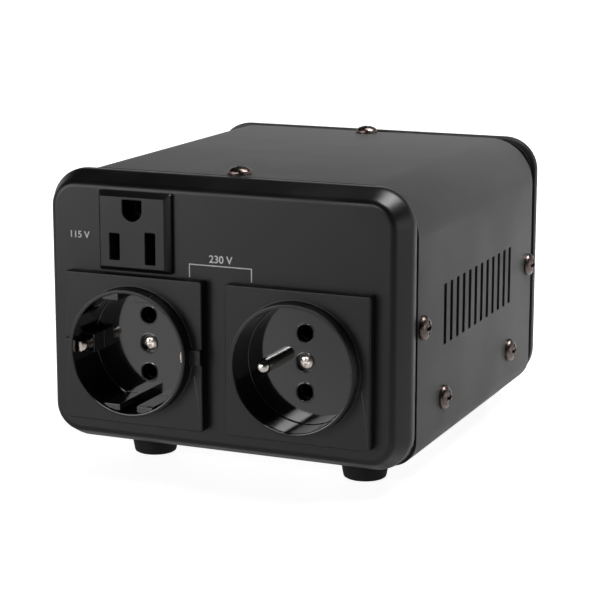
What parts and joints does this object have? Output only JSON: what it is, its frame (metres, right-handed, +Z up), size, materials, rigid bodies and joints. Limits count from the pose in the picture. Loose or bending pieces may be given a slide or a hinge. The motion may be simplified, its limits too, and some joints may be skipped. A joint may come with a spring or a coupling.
{
  "type": "desktop voltage converter",
  "caption": "Box-shaped mains voltage converter with rounded end mouldings, vented folded cover, rubber feet, a square US outlet and round German and French sockets on the front.",
  "frame": {"origin": "on the table, under the middle of the part's box", "axes": "+X to the right as seen from the front, -Y out of the front with the outlets, +Z up"},
  "size_m": [0.1298, 0.163, 0.0988],
  "materials": {
    "moulding_plastic": "satin",
    "cover_paint": "fine textured powder coat",
    "zinc_steel": "zinc plated",
    "dark_steel": "dark bronze plating",
    "foot_rubber": "matte",
    "socket_plastic": "semi-gloss",
    "insulator": "matte",
    "contact_brass": "bright",
    "nickel": "nickel plated",
    "core_steel": "varnished laminations",
    "bobbin_plastic": "matte",
    "winding_wire": "enamelled copper",
    "tape": "satin",
    "fitting_plastic": "semi-gloss",
    "slider_plastic": "semi-gloss",
    "fuse_metal": "plated end caps",
    "wire_red": "satin",
    "wire_brown": "satin",
    "wire_green": "satin",
    "wire_black": "satin",
    "wire_blue": "satin"
  },
  "bodies": {
    "box": {"front_panel": "moulding_plastic", "rear_panel": "moulding_plastic", "cover": "cover_paint", "base_plate": "zinc_steel", "base_screws": "zinc_steel", "foot_screws": "zinc_steel", "foot_nuts": "zinc_steel", "bracket_front": "zinc_steel", "bracket_rear": "zinc_steel", "core_bolts": "zinc_steel", "core_nuts": "zinc_steel", "transformer_screws": "zinc_steel", "transformer_nuts": "zinc_steel", "thermal_cutout": "zinc_steel", "inlet_screws": "zinc_steel", "inlet_nuts": "zinc_steel", "cover_side_screws": "dark_steel", "cover_top_screws": "dark_steel", "foot_front_left": "foot_rubber", "foot_front_right": "foot_rubber", "foot_rear_left": "foot_rubber", "foot_rear_right": "foot_rubber", "outlet_housing": "socket_plastic", "german_face": "socket_plastic", "french_face": "socket_plastic", "german_rear_body": "insulator", "french_rear_body": "insulator", "outlet_line_contact": "contact_brass", "outlet_neutral_contact": "contact_brass", "outlet_earth_contact": "contact_brass", "german_line_sleeve": "contact_brass", "german_neutral_sleeve": "contact_brass", "french_line_sleeve": "contact_brass", "french_neutral_sleeve": "contact_brass", "switch_terminals": "contact_brass", "earth_stud": "contact_brass", "german_earth_strap": "nickel", "german_screw": "nickel", "french_earth_pin": "nickel", "french_screw": "nickel", "inlet_pins": "nickel", "transformer_core": "core_steel", "bobbin": "bobbin_plastic", "winding": "winding_wire", "winding_wrap": "tape", "inlet_housing": "fitting_plastic", "switch_housing": "fitting_plastic", "selector_housing": "fitting_plastic", "fuse_holder": "fitting_plastic", "fuse_holder_nut": "fitting_plastic", "outlet_wires": "wire_red", "inlet_wire": "wire_brown", "fuse_wire": "wire_brown", "earth_wire": "wire_green", "switch_wire": "wire_black", "selector_wire": "wire_blue"},
    "rocker": {"switch_rocker": "fitting_plastic"},
    "slider": {"selector_slider": "slider_plastic"},
    "fuse": {"fuse_cartridge": "fuse_metal"},
    "cap": {"fuse_cap": "fitting_plastic"}
  },
  "joints": [
    {"name": "switch_tilt", "type": "hinge", "parent": "box", "child": "rocker", "pos_m": [0.033, 0.06795, 0.068], "axis": [1, 0, 0], "range_deg": [0, 20]},
    {"name": "selector_slide", "type": "slide", "parent": "box", "child": "slider", "axis": [1, 0, 0], "range_m": [0, 0.0064]},
    {"name": "fuse_draw", "type": "slide", "parent": "box", "child": "fuse", "axis": [0, 1, 0], "range_m": [0, 0.035]},
    {"name": "fuse_cap_turn", "type": "hinge", "parent": "fuse", "child": "cap", "pos_m": [0.04, 0.07195, 0.034], "axis": [0, 1, 0], "range_deg": [0, 60]}
  ]
}
